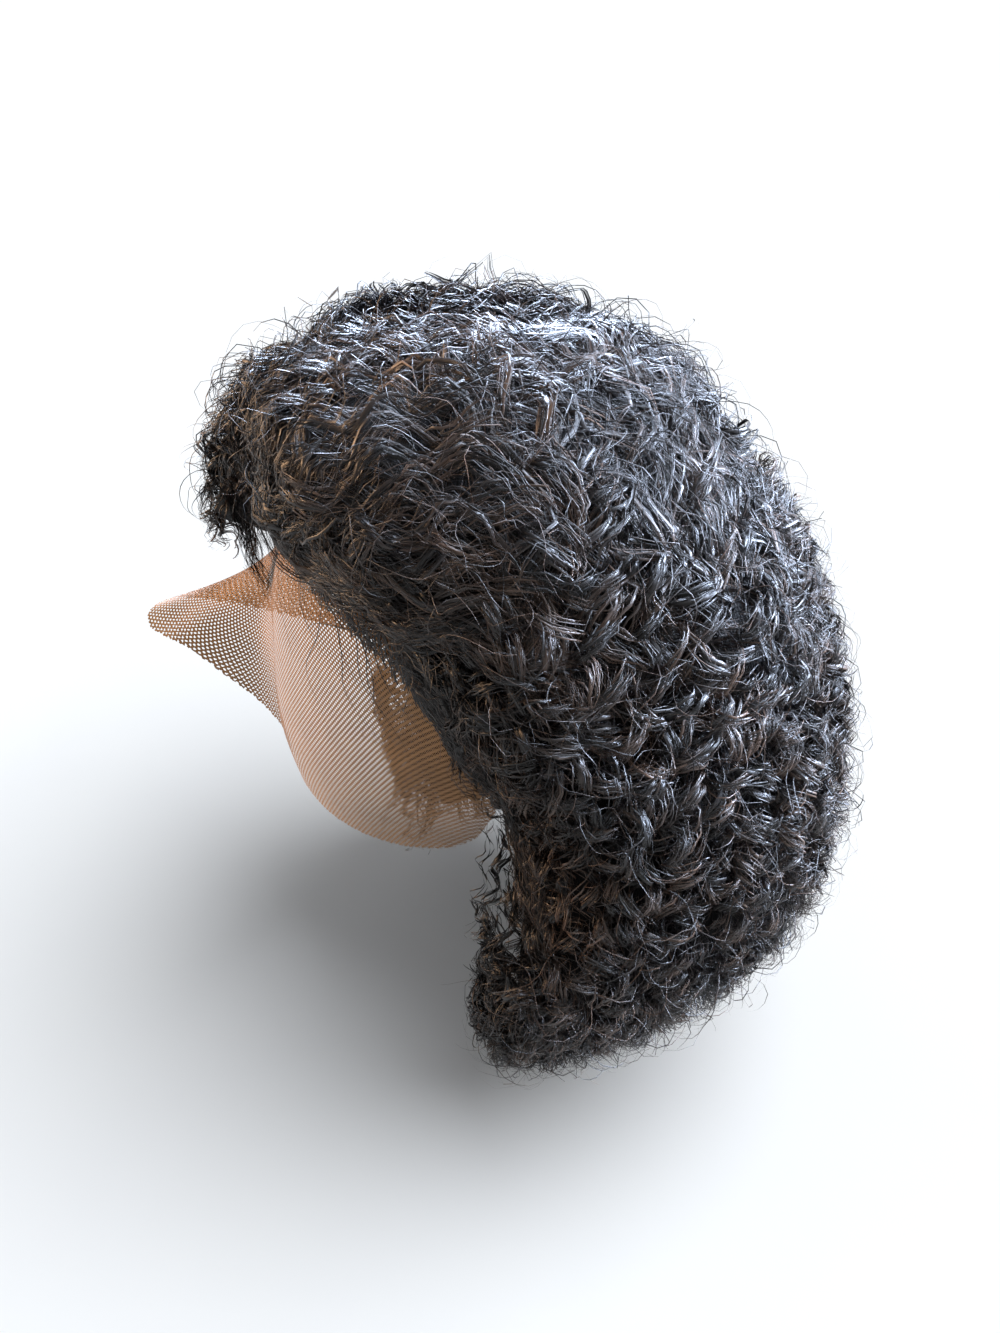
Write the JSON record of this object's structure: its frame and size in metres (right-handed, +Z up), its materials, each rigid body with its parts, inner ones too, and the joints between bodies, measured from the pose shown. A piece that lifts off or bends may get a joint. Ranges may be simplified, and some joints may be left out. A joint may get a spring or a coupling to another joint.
{
  "type": "lace front wig",
  "caption": "Dark curly lace front wig: a hollow cap with a fine lace front edge and hair sections that hang round the head to below the jaw.",
  "frame": {"origin": "inside of the cap's crown, where the top of the head touches", "axes": "+Z up, -Y towards the face, +X to the wearer's left"},
  "size_m": [0.2765, 0.2793, 0.3142],
  "materials": {
    "cap_net": "matt knitted net",
    "lace": "fine open net",
    "hair": "curled fibres with a soft sheen"
  },
  "bodies": {
    "root": {"wig_cap": "cap_net", "lace_front": "lace", "front_hair": "hair", "left_hair": "hair", "back_hair": "hair", "right_hair": "hair"}
  },
  "joints": []
}
